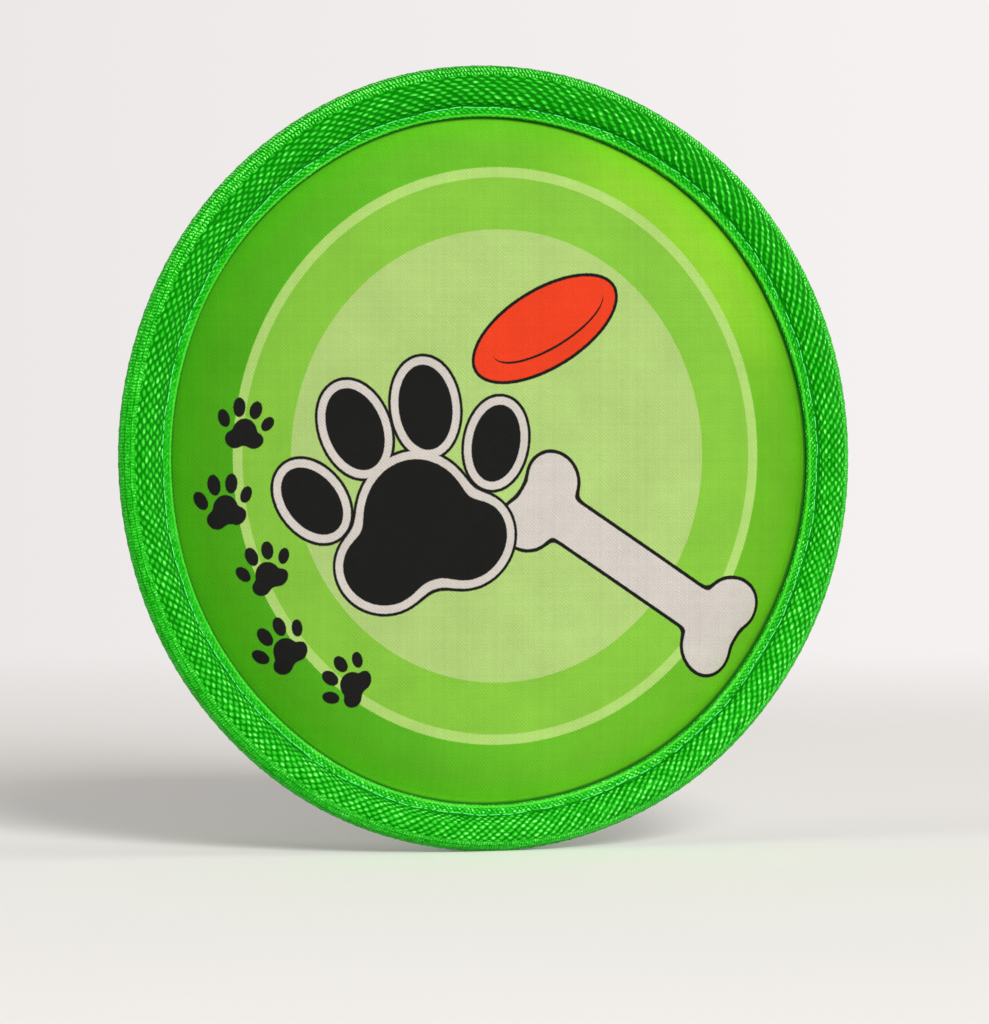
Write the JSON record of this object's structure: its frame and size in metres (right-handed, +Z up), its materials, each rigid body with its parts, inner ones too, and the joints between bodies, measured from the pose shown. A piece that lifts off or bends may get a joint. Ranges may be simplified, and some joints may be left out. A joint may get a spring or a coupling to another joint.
{
  "type": "soft flying disc",
  "caption": "Soft round throwing disc for fetch and lawn games: padded canvas panels inside a tube-cored rim of folded nylon webbing.",
  "frame": {"origin": "centre of the disc, on its axis and on the middle plane between its two faces", "axes": "+Y is the disc's axis and points out of the plain back face, so the printed face looks along -Y; +Z is up across the print as the disc stands on its edge; +X is to the right of a person facing the print"},
  "size_m": [0.229, 0.0126, 0.229],
  "materials": {
    "printed_canvas": "matte",
    "plain_canvas": "matte",
    "foam": "matte",
    "vinyl": "satin",
    "plug": "satin",
    "webbing": "satin",
    "needle_thread": "satin",
    "bobbin_thread": "satin"
  },
  "bodies": {
    "root": {"front_panel": "printed_canvas", "back_panel": "plain_canvas", "foam_pad": "foam", "rim_tube": "vinyl", "tube_joiner": "plug", "rim_webbing": "webbing", "front_stitching": "needle_thread", "back_stitching": "bobbin_thread"}
  },
  "joints": []
}
